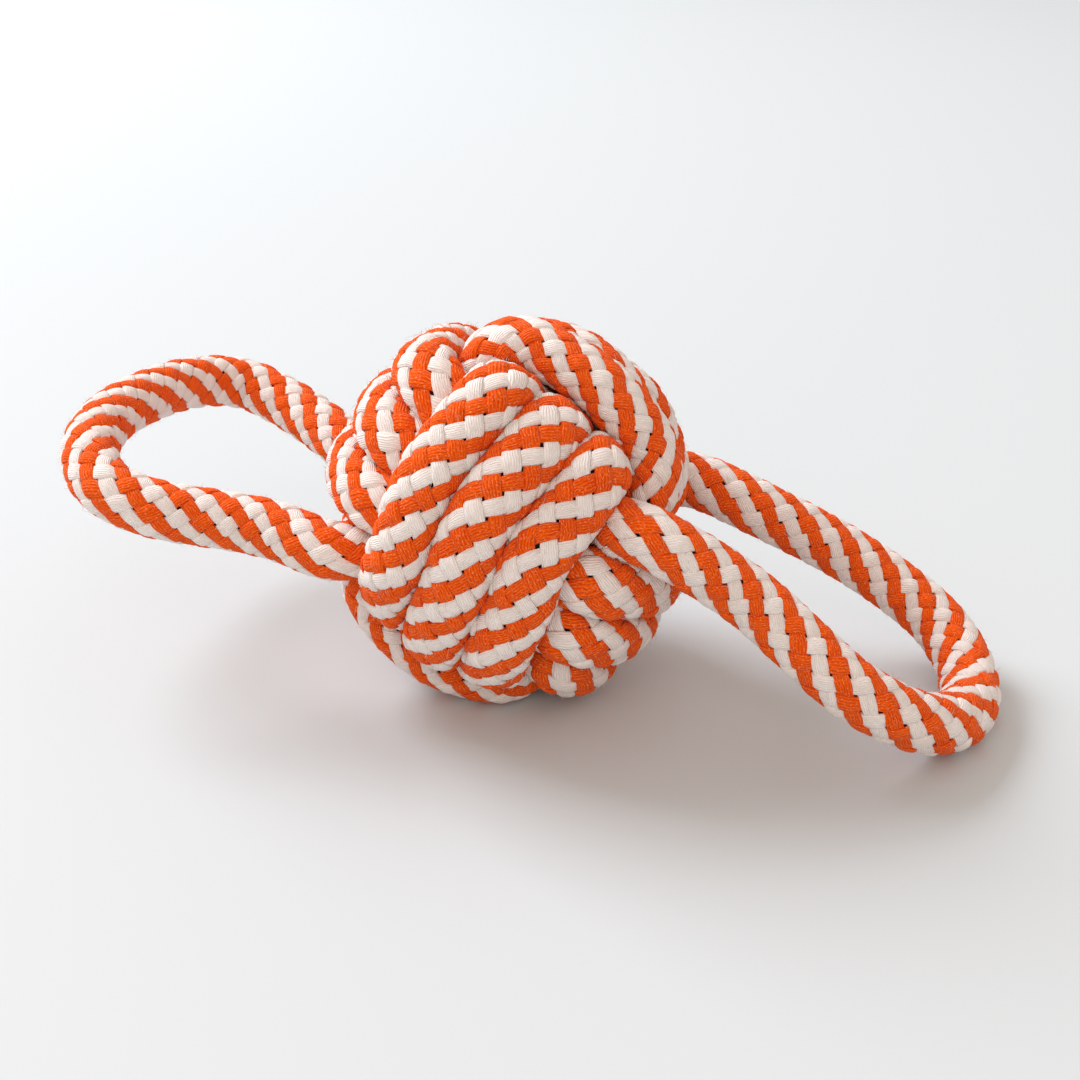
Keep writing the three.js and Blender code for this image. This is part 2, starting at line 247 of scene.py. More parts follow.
def shown_length(name, description, default):
    """A length in metres that the sidebar shows."""
    return bpy.props.FloatProperty(name=name, description=description, default=default, unit="LENGTH")


def shown_share(name, description, default):
    """A share of 1 that the sidebar shows."""
    return bpy.props.FloatProperty(name=name, description=description, default=default, subtype="FACTOR")


def shown_colour(name, description, hex_code):
    """A colour that the sidebar shows."""
    return bpy.props.FloatVectorProperty(
        name=name, description=description, default=linear(hex_code), subtype="COLOR"
    )


class RopeSizes(bpy.types.PropertyGroup):
    """Sizes of the braided rope"""

    diameter: shown_length(
        "Rope diameter", "Diameter of the handle rope over its strands", ROPE_DIAMETER * MM
    )
    loop_lay: shown_length("Lay in the loops", "Handle rope in which a strand goes once round", 0.0416)
    ball_lay: shown_length("Lay in the ball", "Knot rope in which a strand goes once round", 0.0388)
    strand_thickness: shown_length("Strand thickness", "Thickness of a flat strand of yarns", 0.001)
    stripe_rise: shown_length(
        "Stripe strand rise", "How far a strand that runs with the stripes rises and dips", 0.00018
    )
    stripe_cover: shown_share(
        "Stripe strand cover", "Width of a strand with the stripes, as a share of its room", 0.86
    )
    crossing_rise: shown_length(
        "Crossing strand rise", "How far a strand that runs across the stripes rises and dips", 0.00034
    )
    crossing_cover: shown_share(
        "Crossing strand cover", "Width of a strand across the stripes, as a share of its room", 0.93
    )
    turn_width: shown_length(
        "Turn width", "Width of the knot rope in the ball, where its turns press each other", 0.0132
    )
    turn_thickness: shown_length("Turn thickness", "Thickness of the knot rope through the ball", 0.0102)
    hair_length: shown_length("Hair length", "Length of the stray cotton hairs", 0.0013)


class RopeColours(bpy.types.PropertyGroup):
    """Colours of the yarns"""

    white_yarn: shown_colour("White yarn", "Bleached cotton", "FAF7F4")
    # Painted shade between threads, tinted warm like light bounced off the orange strands; random streaks
    # reach it too
    white_painted_shade: shown_colour("White yarn, between threads", "Bleached cotton between threads", "E4D8CF")
    white_fibre: shown_colour("White fibres", "Loose fibres on the bleached cotton", "FBF9F7")
    orange_yarn: shown_colour("Orange yarn", "Dyed cotton", "FF6A08")
    # Painted shade between threads; random streaks and clouds reach this darker colour too
    orange_painted_shade: shown_colour("Orange yarn, between threads", "Dyed cotton between threads", "CE3600")
    # Real loose fibres, partly painted sheen: their pale colour stands for light caught by the fuzz
    orange_fibre_and_sheen: shown_colour("Orange fibres", "Loose, paler fibres on the dyed cotton", "FFB688")
    # Painted shade: the filler is dark so that the pinholes between the strands look shaded
    filler: shown_colour("Filler", "Dark recycled yarn that fills the rope", "3A322F")
    twine: shown_colour("Twine", "Waxed twine of the whipping", "D9CDB4")
    table: shown_colour("Table", "Matt white table", "C9D1D3")


def smooth_step(value):
    """3 t squared less 2 t cubed, of the value held between 0 and 1."""
    held = np.clip(value, 0, 1)
    return held * held * (3 - 2 * held)


def lengths(vectors):
    """Length of each vector, kept as a column."""
    return np.linalg.norm(vectors, axis=-1, keepdims=True)


def dots(one, other):
    """Dot product of each pair of vectors, kept as a column."""
    return np.sum(one * other, axis=-1, keepdims=True)


def reached_along(path):
    """Distance along a line of points at each of them."""
    return np.concatenate([[0], np.cumsum(lengths(np.diff(path, axis=0))[:, 0])])


def respaced(path, count):
    """Evenly spaced points along a line of points."""
    reached = reached_along(path)
    wanted = np.linspace(0, reached[-1], count)
    return np.stack([np.interp(wanted, reached, path[:, k]) for k in range(3)], axis=1)


def smooth_line(points, step):
    """Points a step apart on the centripetal spline through the given points.

    Each stretch is a cubic between two points, whose slopes come from the points on both sides with
    the square roots of the distances as its time. The line goes straight on beyond both ends.
    """
    held = np.asarray(points, float)
    first = 2 * held[0] - held[1]
    final = 2 * held[-1] - held[-2]
    padded = np.vstack([first, held, final])
    times = np.sqrt(lengths(np.diff(padded, axis=0)))
    p0, p1, p2, p3 = padded[:-3], padded[1:-2], padded[2:-1], padded[3:]
    t0, t1, t2 = times[:-2], times[1:-1], times[2:]
    slope_in = ((p1 - p0) / t0 - (p2 - p0) / (t0 + t1) + (p2 - p1) / t1) * t1
    slope_out = ((p2 - p1) / t1 - (p3 - p1) / (t1 + t2) + (p3 - p2) / t2) * t1
    share = np.linspace(0, 1, SPLINE_STEPS, endpoint=False)[None, :, None]
    curved = (
        (2 * share**3 - 3 * share**2 + 1) * p1[:, None]
        + (share**3 - 2 * share**2 + share) * slope_in[:, None]
        + (3 * share**2 - 2 * share**3) * p2[:, None]
        + (share**3 - share**2) * slope_out[:, None]
    )
    line = np.vstack([curved.reshape(-1, 3), held[-1]])
    return respaced(line, max(2, round(reached_along(line)[-1] / step)) + 1)


def softened_ends(line, reach):
    """A line whose bends near both ends are spread out.

    In each round a point moves towards the middle of its neighbours, by half the way up to the reach from
    an end, and by less and less up to twice the reach.
    """
    reached = reached_along(line)
    from_end = np.minimum(reached, reached[-1] - reached)
    share = (0.5 - 0.5 * smooth_step(from_end / reach - 1))[1:-1, None]
    softened = line.copy()
    for _ in range(SOFTENING_ROUNDS):
        softened[1:-1] += share * ((softened[:-2] + softened[2:]) / 2 - softened[1:-1])
    return softened


def leaned(x, y, z):
    """A direction turned about X by the lean, front side up."""
    return np.array([
        x,
        y * math.cos(LEAN) + z * math.sin(LEAN),
        -y * math.sin(LEAN) + z * math.cos(LEAN),
    ])


# Knot axes: the front face looks along -Y and a little up, and the ball has rolled about that axis
FRONT = leaned(0, -1, 0)
TOP = leaned(math.sin(ROLL), 0, math.cos(ROLL))
SIDE = np.cross(FRONT, TOP)
KNOT_TO_TOY = np.stack([FRONT, TOP, SIDE]) * [1, 1, BALL_STRETCH]
BALL_CENTRE = np.array([0, 0, BALL_HEIGHT])


def to_toy(points):
    """From the round knot to the toy, where the ball stands a little taller than it is wide."""
    return np.asarray(points) @ KNOT_TO_TOY + BALL_CENTRE


def corner_axis(front, right):
    """Direction of the corner of the knot where the handle rope comes out."""
    lift = LEFT_EXIT_LIFT if right < 0 else RIGHT_EXIT_LIFT
    axis = np.array([front, -right, right]) + lift * np.array([FRONT[2], TOP[2], SIDE[2]])
    return axis / np.linalg.norm(axis)


def heart_point(front, along):
    """A point on the straight middle of a run through the heart."""
    across = along / math.sqrt(2)
    return np.array([front * HEART_HALF_GAP, -across, across])


def band_points(band, half_turns):
    """One band: three turns round two axes, outside along the long one and tucked in along the short.

    The angle grows by half a turn in each pass, the reach goes between the outer and the inner radius by a
    soft step of the squared cosine, and the lane moves over by one rope width where it is tucked in.
    """
    long_axis, first_face, sense, first_lane, outside_before, outside_after = band
    angle = (0 if first_face > 0 else math.pi) + sense * math.pi * half_turns
    moved = sum(smooth_step((half_turns - at) / MOVE_OVER_PASSES) for at in MOVE_OVER_AT)
    rise = np.tanh(DIP_SHARPNESS * (np.cos(angle) ** 2 - DIP_MIDDLE))
    share = np.clip(0.5 + rise / (2 * math.tanh(DIP_SHARPNESS / 2)), 0, 1)
    keeps_out = (half_turns < outside_before) | (half_turns > outside_after)
    share = np.where(keeps_out, 1, share)
    reach = INNER_RADIUS + (OUTER_RADIUS - INNER_RADIUS) * share
    aside = first_lane * (1 - moved) * (TUCKED_SPACING + (TURN_SPACING - TUCKED_SPACING) * share)
    flat = np.sqrt(reach**2 - aside**2)
    points = np.zeros((len(half_turns), 3))
    points[:, long_axis] = flat * np.cos(angle)
    points[:, (long_axis + 1) % 3] = flat * np.sin(angle)
    points[:, (long_axis + 2) % 3] = aside
    return points


def tied_path():
    """The loose knot: band after band, with a crossing over a corner between them."""
    stretches = []
    for index, band in enumerate(BANDS):
        begin = -TUCKED_PASSES if index == 0 else 0
        end = LAST_PASS + TUCKED_PASSES if index == len(BANDS) - 1 else LAST_PASS
        count = round((end - begin) * POINTS_PER_PASS)
        stretches.append(band_points(band, np.linspace(begin, end, count, endpoint=False)))
        if index < len(BANDS) - 1:
            along = np.linspace(0, 1, POINTS_PER_PASS, endpoint=False)
            leaving = band_points(band, LAST_PASS + CROSSING * along)
            joining = band_points(BANDS[index + 1], CROSSING * (along - 1))
            crossing = leaving + (joining - leaving) * smooth_step(along)[:, None]
            stretches.append(crossing * OUTER_RADIUS / lengths(crossing))
    return np.vstack(stretches)


def stretched_outward(vectors, outward, room):
    """Vectors as shares of the room, longer through the ball, where the turns lie closer."""
    return (vectors + outward * dots(vectors, outward) * (room / LAYER_SPACING - 1)) / room


def pushed_off(points, nearest, distance):
    """Points moved straight away from their nearest ones to at least that distance."""
    away = points - nearest
    far = lengths(away)
    return np.where(far < distance, nearest + away * distance / np.maximum(far, TINY), points)


def pushed_apart(points, one, other):
    """Points of which each listed pair that lies closer than its room is pushed apart, half each.

    The room grows from the tucked turns to the outer ones. A point that several others push moves by the
    sum of their pushes over the square root of their number.
    """
    outward = points[one] + points[other]
    radius = lengths(outward) / 2
    outward = outward / np.maximum(2 * radius, TINY)
    share = np.clip((radius - INNER_RADIUS) / LAYER_SPACING, 0, 1)
    room = TUCKED_SPACING + (TURN_SPACING - TUCKED_SPACING) * share
    apart = stretched_outward(points[one] - points[other], outward, room)
    measure = lengths(apart)
    slope = stretched_outward(apart / np.maximum(measure, TINY), outward, room)
    slope = slope * 0.5 * np.maximum(0, 1 - measure) / dots(slope, slope)
    moves = np.zeros_like(points)
    np.add.at(moves, one, slope)
    np.add.at(moves, other, -slope)
    touching = measure[:, 0] < 1
    pushed = np.concatenate([one[touching], other[touching]])
    touches = np.bincount(pushed, minlength=WINDING_POINTS)
    return points + moves / np.sqrt(np.maximum(touches, 1))[:, None]


def eased_path():
    """The knot pulled tight, round after round.

    Each point moves to the middle of its neighbours by a share that fades to its least, turns that lie
    closer than their room push each other apart, the outer turns are drawn out to the ball's surface,
    and the corners stay open for the handle rope.
    """
    points = respaced(tied_path(), WINDING_POINTS)
    runs = [
        (heart_point(front, right * WHIPPING_LENGTH / 2), corner_axis(front, right) * PIVOT_RADIUS)
        for front, right in ((1, 1), (1, -1), (-1, 1), (-1, -1))
    ]
    for number in range(EASING_ROUNDS):
        if number % ROUNDS_PER_RESPACING == 0:
            spacing = reached_along(points)[-1] / (WINDING_POINTS - 1)
            points = respaced(points, WINDING_POINTS)
        if number % ROUNDS_PER_SEARCH == 0:
            one, other = np.triu_indices(WINDING_POINTS, math.ceil(OWN_REACH / spacing))
            near = lengths(points[one] - points[other])[:, 0] < TURN_SPACING + SEARCH_MARGIN
            one, other = one[near], other[near]
        fading = max(0, 1 - number / (EASING_ROUNDS * PULLING_SHARE))
        pull = max(FIRST_PULL * fading, LAST_PULL)
        points[1:-1] += pull * ((points[:-2] + points[2:]) / 2 - points[1:-1])
        points = pushed_apart(points, one, other)
        radius = lengths(points)
        levelling = max(FIRST_LEVELLING * fading, LAST_LEVELLING)
        levelled = radius + levelling * (OUTER_RADIUS - radius)
        points = np.where(radius > BETWEEN_LAYERS, points * levelled / radius, points)
        for start, end in runs:
            line = end - start
            along = np.clip((points - start) @ line / (line @ line), 0, 1)
            points = pushed_off(points, start + along[:, None] * line, RUN_SPACING)
            points = pushed_off(points, end, EXIT_SPACING)
        points = points * np.minimum(1, OUTER_RADIUS / lengths(points))
    return points


def rope_along(line, outward, half_width, half_thickness, lay=1.0, fullness=2.0):
    """A rope along a middle line.

    Up is the outward hint less its part along the line, across is up cross along, and the twist is the
    sum of how far across turns towards up, which the braid turns back. A fullness of 2 is a round or oval
    rope, and a higher one is pressed by its neighbours towards a rectangle.
    """
    along = np.gradient(line, axis=0)
    along = along / lengths(along)
    up = outward - along * dots(outward, along)
    up = up / lengths(up)
    across = np.cross(up, along)
    twist = np.cumsum(np.sum(np.gradient(across, axis=0) * up, axis=1))
    half_width = np.broadcast_to(half_width, len(line))
    half_thickness = np.broadcast_to(half_thickness, len(line))
    return Rope(reached_along(line), line, across, up, half_width, half_thickness, twist, lay, fullness)


def read_along(rope, along, values):
    """What a rope holds at its points, read at distances along it and kept as columns."""
    columns = values.reshape(len(rope.reached), -1).T
    return np.stack([np.interp(along, rope.reached, column) for column in columns], axis=-1)


def skin_radius(rope, along):
    """Mean of half width and half thickness at distances along a rope."""
    return np.interp(along, rope.reached, (rope.half_width + rope.half_thickness) / 2)


def on_rope(rope, along, angle, lift):
    """Points at a distance along a rope, an angle round it and a lift off its skin.

    The point is the middle line plus the half width and lift times the cosine of the angle across, plus
    the half thickness and lift times its sine upward, both over the length of the cosine and the sine as
    a sum of powers measures it, the power being the rope's fullness.
    """
    turned = angle[..., None] - read_along(rope, along, rope.twist)
    lift = np.broadcast_to(lift, along.shape)[..., None]
    cosine, sine = np.cos(turned), np.sin(turned)
    measure = (np.abs(cosine) ** rope.fullness + np.abs(sine) ** rope.fullness) ** (1 / rope.fullness)
    wide = (read_along(rope, along, rope.half_width) + lift) * cosine / measure
    high = (read_along(rope, along, rope.half_thickness) + lift) * sine / measure
    return (
        read_along(rope, along, rope.middle)
        + wide * read_along(rope, along, rope.across)
        + high * read_along(rope, along, rope.up)
    )


def pressed_on_table(points):
    """Heights near the table pressed into a thin flat layer: d times the log of 1 plus e to z over d."""
    pressed = points.copy()
    pressed[..., 2] = TABLE_PRESS * np.logaddexp(0, points[..., 2] / TABLE_PRESS)
    return pressed


def tube_mesh(name, rings, uv, materials, material_numbers):
    """A mesh object of closed tubes, given as tubes by rings by points round, with flat end caps."""
    tubes, steps, sides = rings.shape[:3]
    grid = np.arange(tubes * steps * sides).reshape(tubes, steps, sides)
    onward = np.roll(grid, -1, axis=2)
    quads = np.stack(
        [grid[:, :-1], onward[:, :-1], onward[:, 1:], grid[:, 1:]], axis=-1
    ).reshape(-1, 4)
    caps = np.concatenate([grid[:, 0, ::-1], grid[:, -1]])
    corners = np.concatenate([quads.ravel(), caps.ravel()])
    sizes = np.concatenate([np.full(len(quads), 4), np.full(len(caps), sides)])
    mesh = bpy.data.meshes.new(name)
    mesh.vertices.add(grid.size)
    mesh.vertices.foreach_set("co", (rings.reshape(-1) * MM).astype(np.float32))
    mesh.loops.add(len(corners))
    mesh.loops.foreach_set("vertex_index", corners.astype(np.int32))
    mesh.polygons.add(len(sizes))
    starts = np.concatenate([[0], np.cumsum(sizes)[:-1]])
    mesh.polygons.foreach_set("loop_start", starts.astype(np.int32))
    mesh.polygons.foreach_set("use_smooth", np.ones(len(sizes), bool))
    per_quad = np.repeat(material_numbers, (steps - 1) * sides)
    numbers = np.concatenate([per_quad, material_numbers, material_numbers])
    mesh.polygons.foreach_set("material_index", numbers.astype(np.int32))
    layer = mesh.uv_layers.new(name="yarn")
    layer.uv.foreach_set("vector", uv.reshape(-1, 2)[corners].astype(np.float32).ravel())
    for material in materials:
        mesh.materials.append(material)
    mesh.update(calc_edges=True)
    mesh.validate()
    piece = bpy.data.objects.new(name, mesh)
    bpy.context.scene.collection.objects.link(piece)
    return piece


def slow_sines(sines, along, phase):
    """Sum of sines along a strand, each in its share of the strand's phase."""
    return sum(np.sin(rate * along + share * phase) for rate, share in sines)


def full_corners(values):
    """Cosines or sines raised to a power below 1, which fills the corners of an oval."""
    return np.sign(values) * np.abs(values) ** CORNER_POWER


def strand_rings(rope, sizes, hand, numbers, rings_per_crossing, sides):
    """Rings and yarn coordinates of braided strands.

    A strand winds round the rope by one turn in a lay, to its hand. Its lift is the rise times a steep
    step of the cosine of half a turn for each crossing, up for one hand where it is down for the other.
    Its ring is a flat oval with full corners, whose long axis lies in the rope's skin, square to the
    strand. Slow sines, in a phase of each strand's own, sway it and change its width a little, because
    no hand or machine lays it evenly.
    """
    cover, rise = sizes.stripe_cover, sizes.stripe_rise / MM
    if hand == LEFT_HAND:
        cover, rise = sizes.crossing_cover, sizes.crossing_rise / MM
    length, lay = rope.reached[-1], rope.lay
    count = math.ceil(length / lay * CROSSINGS_PER_LAY * rings_per_crossing)
    along = np.linspace(0, length, count + 1)
    radius = skin_radius(rope, along)
    slant = np.arctan(TURN * radius / lay)
    room = TURN * radius / STRANDS_PER_HAND * np.cos(slant)
    over = hand * np.cos(math.pi * CROSSINGS_PER_LAY * along / lay)
    phase = numbers[:, None] * PHASE_STEP + hand
    sway = UNEVEN_SWAY * slow_sines(SWAY_SINES, along, phase)
    swell = UNEVEN_WIDTH * slow_sines(WIDTH_SINES, along, phase)
    half_width = room * cover / 2 * (1 + TOP_SWELL * over + swell)
    half_thickness = sizes.strand_thickness / MM / 2
    lift = rise * np.tanh(STEP_STEEPNESS * over) / math.tanh(STEP_STEEPNESS)
    turn = TURN * (np.arange(sides) + 0.5) / sides
    wide = full_corners(np.cos(turn))
    aside = sway[..., None] + half_width[..., None] * wide
    raised = lift[:, None] - half_thickness * full_corners(np.sin(turn))
    start = TURN * numbers[:, None, None] / STRANDS_PER_HAND
    angle = start + (hand * TURN * along / lay)[:, None] + aside * (np.cos(slant) / radius)[:, None]
    beside = along[:, None] - hand * aside * np.sin(slant)[:, None]
    rings = on_rope(rope, beside, angle, raised)
    across = np.broadcast_to(numbers[:, None, None] * STRAND_PATTERN_STEP + 0.5 + wide / 2, angle.shape)
    strand_length = np.broadcast_to((along / np.cos(slant))[:, None], angle.shape)
    return rings, np.stack([across, strand_length], axis=-1)


def filler_rings(rope, sides):
    """Rings of the filler: a tube at its share of the rope's skin."""
    length = rope.reached[-1]
    along = np.linspace(0, length, math.ceil(length / FILLER_STEP) + 1)
    angle = np.broadcast_to(TURN * np.arange(sides) / sides, (1, len(along), sides))
    beside = np.broadcast_to(along[:, None], angle.shape)
    lift = np.broadcast_to((FILLER_SHARE - 1) * skin_radius(rope, along)[:, None], angle.shape)
    uv = np.stack([angle / TURN, beside], axis=-1)
    return on_rope(rope, beside, angle, lift), uv


def hair_rings(rope, sizes, per_millimetre, seed, seen_from=0.0):
    """Rings of stray hairs, with the colour of the stripe that each grows from.

    A hair starts on top of a strand and leans away from the skin by a random amount along and round the
    rope, growing thinner on its way. Only hairs that far from the ball's centre are kept, because the
    rest is covered. The random numbers have a fixed seed.
    """
    length = rope.reached[-1]
    dice = np.random.default_rng(seed)
    count = round(length * per_millimetre)
    along = dice.uniform(HAIR_END_MARGIN, length - HAIR_END_MARGIN, count)
    angle = dice.uniform(0, TURN, count)
    roots = on_rope(rope, along, angle, np.zeros(count))
    kept = lengths(roots - BALL_CENTRE)[:, 0] > seen_from
    along, angle = along[kept], angle[kept]
    count = len(along)
    grown = np.linspace(0, 1, HAIR_RINGS)
    long_hair = sizes.hair_length / MM * dice.uniform(*HAIR_LENGTH_SHARES, count)
    lean_along = dice.normal(0, HAIR_LEAN, count)
    lean_round = dice.normal(0, HAIR_LEAN, count)
    bend = dice.uniform(*HAIR_BENDS, count)
    outward = long_hair[:, None] * (HAIR_RISE * grown - HAIR_FALL * bend[:, None] * grown**2)
    away = long_hair[:, None] * grown * HAIR_SLANT
    radius = skin_radius(rope, along)
    turn = TURN * np.arange(HAIR_SIDES) / HAIR_SIDES
    thin = HAIR_RADIUS * (1 - HAIR_TAPER * grown)
    root_lift = skin_depth(sizes) - HAIR_ROOT_DEPTH
    lift = root_lift + outward[..., None] - thin[:, None] * np.sin(turn)
    beside = along[:, None] + away * lean_along[:, None]
    beside = np.broadcast_to(beside[..., None], lift.shape)
    round_it = angle[:, None] + away * lean_round[:, None] / radius[:, None]
    round_it = round_it[..., None] + thin[:, None] * np.cos(turn) / radius[:, None, None]
    rings = on_rope(rope, beside, round_it, lift)
    stripe = (angle / TURN - along / rope.lay) * STRANDS_PER_HAND
    colours = np.round(stripe).astype(int) % 2
    return rings, np.stack([round_it, beside], axis=-1), colours


def add_node(tree, kind, inputs=(), **settings):
    """A new node with its settings. Each input is a socket's name or number with a value or a link."""
    node = tree.nodes.new(kind)
    for key, value in settings.items():
        setattr(node, key, value)
    for socket, value in inputs:
        if isinstance(value, bpy.types.NodeSocket):
            tree.links.new(value, node.inputs[socket])
        else:
            node.inputs[socket].default_value = value
    return node


def opaque(colour):
    """A colour with full alpha."""
    return (*colour[:3], 1.0)


def new_material(name):
    """An empty node material and its node tree."""
    material = bpy.data.materials.new(name)
    material.use_nodes = True
    material.node_tree.nodes.clear()
    return material, material.node_tree


def cotton_yarn(name, yarn, shade, fibre, threads):
    """Spun cotton yarns laid side by side in a flat strand.

    The eye sees fine thread lines along the strand, a matt surface with a soft halo of fibres, a tone that
    changes from thread to thread, and short pale fibres that lie loose on top. Between threads the colour
    darkens towards the shade colour: that is painted shade. The pale colour of the loose fibres is partly
    painted sheen. A strand is about 2.7 mm wide, so eight threads are 0.34 mm wide each, and six are 0.45
    mm. A real fibre is 0.02 mm thick and is drawn 0.14 mm thick, so that it shows.
    """
    thread_sway = 0.22
    # The last weight paints shade between threads; the others give random tone in clouds and streaks
    base_tone, cloud_tone, streak_tone, thread_painted_shade = -0.7, 0.6, 1.3, 0.5
    fewest_fibres, most_fibres, fibre_cover = 0.56, 0.72, 0.75
    streak_height, fibre_height = 0.6, 0.8
    material, tree = new_material(name)
    place = add_node(tree, "ShaderNodeUVMap", uv_map="yarn")
    noises = []
    for (side_by_side, in_ten), detail in ((THREAD_WAVES, 1.0), (STREAKS, 3.0), (LOOSE_FIBRES, 2.0)):
        stretched = add_node(
            tree, "ShaderNodeMapping",
            [("Vector", place.outputs[0]), ("Scale", (side_by_side, in_ten / 10, 1.0))],
            vector_type="POINT",
        )
        noise = add_node(
            tree, "ShaderNodeTexNoise",
            [("Vector", stretched.outputs[0]), ("Scale", 1.0), ("Detail", detail)],
        )
        noises.append(noise.outputs["Fac"])
    wander, streak, loose = noises
    across = add_node(tree, "ShaderNodeSeparateXYZ", [(0, place.outputs[0])]).outputs[0]
    object_place = add_node(tree, "ShaderNodeTexCoord").outputs["Object"]
    cloudy = add_node(
        tree, "ShaderNodeTexNoise",
        [("Vector", object_place), ("Scale", TONE_CLOUDS / TEN_MM), ("Detail", 2.0)],
    ).outputs["Fac"]
    swayed = add_node(
        tree, "ShaderNodeMath", [(0, wander), (1, thread_sway), (2, across)], operation="MULTIPLY_ADD"
    )
    # Thread ridges: they raise the bump, and in the colour they paint shade between threads
    waves = add_node(
        tree, "ShaderNodeMath", [(0, swayed.outputs[0]), (1, TURN * threads)], operation="MULTIPLY"
    )
    ridge = add_node(tree, "ShaderNodeMath", [(0, waves.outputs[0])], operation="SINE")
    thread = add_node(
        tree, "ShaderNodeMath", [(0, ridge.outputs[0]), (1, 0.5), (2, 0.5)], operation="MULTIPLY_ADD"
    ).outputs[0]
    mottled = add_node(
        tree, "ShaderNodeMath", [(0, cloudy), (1, cloud_tone), (2, base_tone)], operation="MULTIPLY_ADD"
    )
    streaky = add_node(
        tree, "ShaderNodeMath", [(0, streak), (1, streak_tone), (2, mottled.outputs[0])],
        operation="MULTIPLY_ADD",
    )
    lightness = add_node(
        tree, "ShaderNodeMath", [(0, thread), (1, thread_painted_shade), (2, streaky.outputs[0])],
        operation="MULTIPLY_ADD", use_clamp=True,
    )
    # Painted shade between threads and random tone: the colour runs from the shade colour to the yarn
    # colour
    tone = add_node(
        tree, "ShaderNodeMix",
        [("Factor", lightness.outputs[0]), ("A", opaque(shade)), ("B", opaque(yarn))], data_type="RGBA",
    )
    # Loose fibres: real fibres, and their pale orange colour is partly painted sheen
    fibres = add_node(
        tree, "ShaderNodeMapRange",
        [("Value", loose), ("From Min", fewest_fibres), ("From Max", most_fibres), ("To Min", 0.0),
         ("To Max", fibre_cover)],
    )
    colour = add_node(
        tree, "ShaderNodeMix",
        [("Factor", fibres.outputs[0]), ("A", tone.outputs["Result"]), ("B", opaque(fibre))],
        data_type="RGBA",
    )
    rough = add_node(
        tree, "ShaderNodeMath", [(0, streak), (1, streak_height), (2, thread)], operation="MULTIPLY_ADD"
    )
    height = add_node(
        tree, "ShaderNodeMath", [(0, loose), (1, fibre_height), (2, rough.outputs[0])],
        operation="MULTIPLY_ADD",
    )
    bump = add_node(
        tree, "ShaderNodeBump", [("Strength", 0.75), ("Distance", 0.00018), ("Height", height.outputs[0])]
    )
    surface = add_node(
        tree, "ShaderNodeBsdfPrincipled",
        [("Base Color", colour.outputs["Result"]), ("Roughness", 0.92), ("IOR", 1.5),
         ("Specular IOR Level", 0.06), ("Sheen Weight", 0.06), ("Sheen Roughness", 0.45),
         ("Normal", bump.outputs[0])],
    )
    add_node(tree, "ShaderNodeOutputMaterial", [("Surface", surface.outputs[0])])
    return material


def filler_yarn(colour):
    """Loose yarn, matt and mottled, dark as painted shade: it shows only in the pinholes between strands.
    """
    material, tree = new_material("filler_yarn_painted_shade")
    place = add_node(tree, "ShaderNodeTexCoord")
    mottle = add_node(
        tree, "ShaderNodeTexNoise",
        [("Vector", place.outputs["Object"]), ("Scale", FILLER_MOTTLES / TEN_MM), ("Detail", 3.0)],
    )
    paleness = 1.8
    pale = [min(1, paleness * channel) for channel in colour]
    # Random mottling over a dark colour that is painted shade in the pinholes
    mixed = add_node(
        tree, "ShaderNodeMix",
        [("Factor", mottle.outputs["Fac"]), ("A", opaque(colour)), ("B", opaque(pale))], data_type="RGBA",
    )
    bump = add_node(
        tree, "ShaderNodeBump", [("Strength", 0.6), ("Distance", 0.0002), ("Height", mottle.outputs["Fac"])]
    )
    surface = add_node(
        tree, "ShaderNodeBsdfPrincipled",
        [("Base Color", mixed.outputs["Result"]), ("Roughness", 1.0), ("Specular IOR Level", 0.1),
         ("Normal", bump.outputs[0])],
    )
    add_node(tree, "ShaderNodeOutputMaterial", [("Surface", surface.outputs[0])])
    return material


def waxed_twine(colour):
    """Waxed twine: two-ply, with a satin gloss from the wax, and slanting ply lines of painted shade.

    At a scale of 1 the diagonal wave comes round every tenth of 2 pi.
    """
    material, tree = new_material("waxed_cotton_twine")
    place = add_node(tree, "ShaderNodeUVMap", uv_map="yarn")
    plies = add_node(
        tree, "ShaderNodeTexWave",
        [("Vector", place.outputs[0]), ("Scale", TURN / 10 / PLY_LENGTH), ("Distortion", 0.4)],
        bands_direction="DIAGONAL",
    )
    # Painted shade in the grooves between the plies
    ply_groove_shade = 0.7
    dark = [ply_groove_shade * channel for channel in colour]
    mixed = add_node(
        tree, "ShaderNodeMix",
        [("Factor", plies.outputs["Fac"]), ("A", opaque(dark)), ("B", opaque(colour))], data_type="RGBA",
    )
    surface = add_node(
        tree, "ShaderNodeBsdfPrincipled",
        [("Base Color", mixed.outputs["Result"]), ("Roughness", 0.45), ("IOR", 1.45)],
    )
    add_node(tree, "ShaderNodeOutputMaterial", [("Surface", surface.outputs[0])])
    return material


def matt_white_laminate(colour):
    """Matt white laminate of a table: a hard, even surface with a faint grain and hardly any gloss."""
    material, tree = new_material("matt_white_laminate")
    place = add_node(tree, "ShaderNodeTexCoord")
    grain = add_node(
        tree, "ShaderNodeTexNoise",
        [("Vector", place.outputs["Object"]), ("Scale", TABLE_GRAINS / TEN_MM), ("Detail", 2.0)],
    )
    bump = add_node(
        tree, "ShaderNodeBump",
        [("Strength", 0.05), ("Distance", 0.0002), ("Height", grain.outputs["Fac"])],
    )
    surface = add_node(
        tree, "ShaderNodeBsdfPrincipled",
        [("Base Color", opaque(colour)), ("Roughness", 0.6), ("Specular IOR Level", 0.2),
         ("Normal", bump.outputs[0])],
    )
    add_node(tree, "ShaderNodeOutputMaterial", [("Surface", surface.outputs[0])])
    return material


